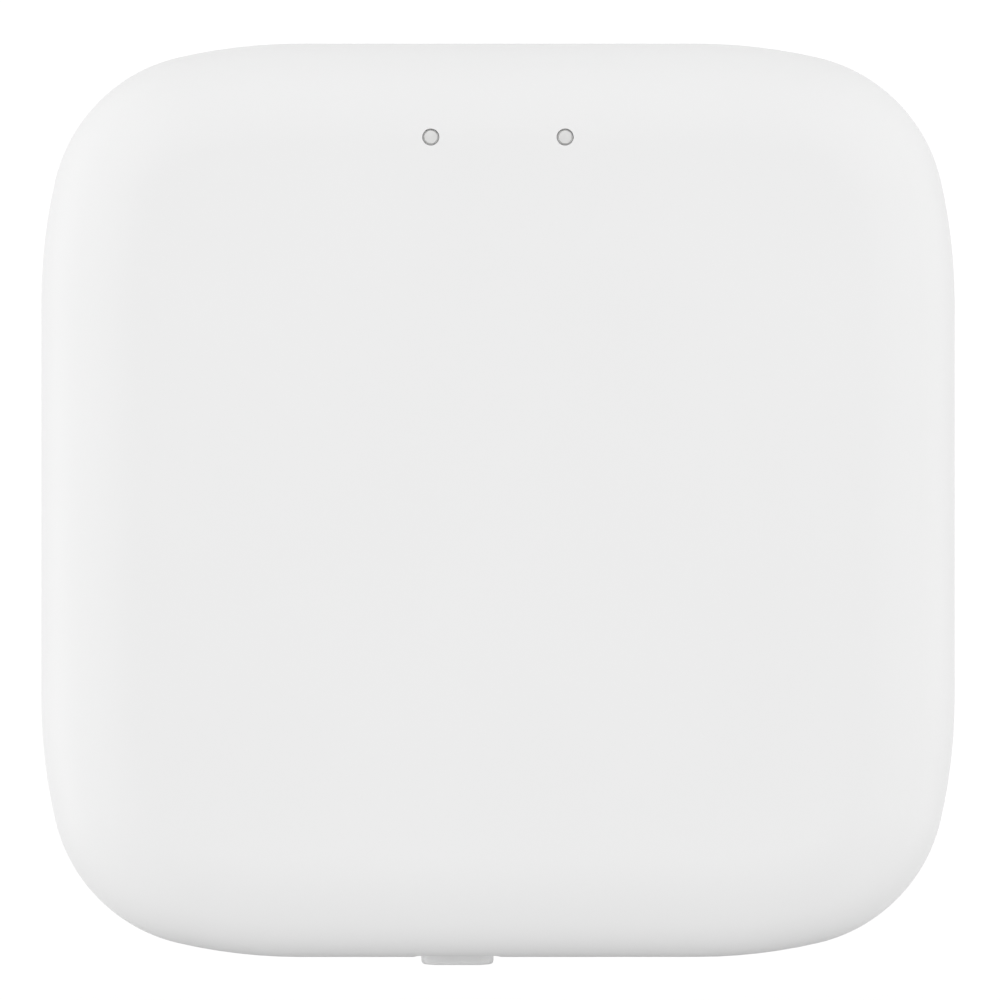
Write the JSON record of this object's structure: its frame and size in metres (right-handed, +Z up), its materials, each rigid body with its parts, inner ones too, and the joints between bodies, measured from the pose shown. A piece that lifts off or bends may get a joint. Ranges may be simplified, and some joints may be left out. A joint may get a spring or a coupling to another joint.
{
  "type": "smart home hub",
  "caption": "Flat square hub case with soft corners, indicator windows on its face, and a press button, network socket and power socket in one side wall.",
  "frame": {"origin": "middle of the case's footprint, on the surface the feet stand on", "axes": "+Z up out of the face, +X right and +Y towards the indicator windows; the button and sockets are in the -Y wall"},
  "size_m": [0.092, 0.093, 0.023],
  "materials": {
    "case_plastic": "fine satin moulded ABS",
    "button_plastic": "satin moulded plastic",
    "foot_rubber": "soft matte silicone rubber",
    "label_film": "blank matte polyester film",
    "screw_steel": "zinc-plated steel",
    "board_laminate": "green solder mask over glass fibre",
    "chip_resin": "black moulding resin",
    "socket_metal": "nickel-plated sheet",
    "socket_plastic": "black socket plastic",
    "contact_gold": "gold-plated contact",
    "clear_plastic": "clear acrylic light guide",
    "lamp_body": "white lamp package with clear lens",
    "can_metal": "drawn metal can",
    "resistor_ceramic": "glazed chip resistor with tinned ends",
    "capacitor_ceramic": "ceramic chip capacitor with tinned ends",
    "ferrite": "moulded ferrite"
  },
  "bodies": {
    "case": {"front_cover": "case_plastic", "back_cover": "case_plastic", "foot_window_side_left": "foot_rubber", "foot_window_side_right": "foot_rubber", "foot_socket_side_left": "foot_rubber", "foot_socket_side_right": "foot_rubber", "rating_label": "label_film", "case_screws": "screw_steel", "board_screws": "screw_steel", "switch_body": "socket_plastic", "switch_frame": "socket_metal", "switch_dome": "socket_metal", "light_guide": "clear_plastic", "status_led_left": "lamp_body", "status_led_right": "lamp_body", "main_board": "board_laminate", "processor": "chip_resin", "memory_chip": "chip_resin", "flash_chip": "chip_resin", "ethernet_transformer": "chip_resin", "voltage_regulator": "chip_resin", "clock_crystal": "can_metal", "power_inductor": "ferrite", "bulk_capacitors": "can_metal", "radio_board": "board_laminate", "radio_shield": "can_metal", "radio_antenna": "contact_gold", "chip_resistors": "resistor_ceramic", "chip_capacitors": "capacitor_ceramic", "ethernet_shield": "socket_metal", "ethernet_housing": "socket_plastic", "ethernet_contacts": "contact_gold", "usb_shell": "socket_metal", "usb_tongue": "socket_plastic", "usb_contacts": "contact_gold"},
    "button": {"reset_button": "button_plastic"},
    "plunger": {"switch_plunger": "socket_plastic"}
  },
  "joints": [
    {"name": "button_press", "type": "slide", "parent": "case", "child": "button", "axis": [0, 1, 0], "range_m": [0, 0.0003], "stiffness_N_per_m": 5000},
    {"name": "plunger_travel", "type": "slide", "parent": "case", "child": "plunger", "axis": [0, 1, 0], "range_m": [0, 0.0003]}
  ],
  "couplings": [
    {"joint": "plunger_travel", "follows": "button_press", "ratio": 1}
  ]
}
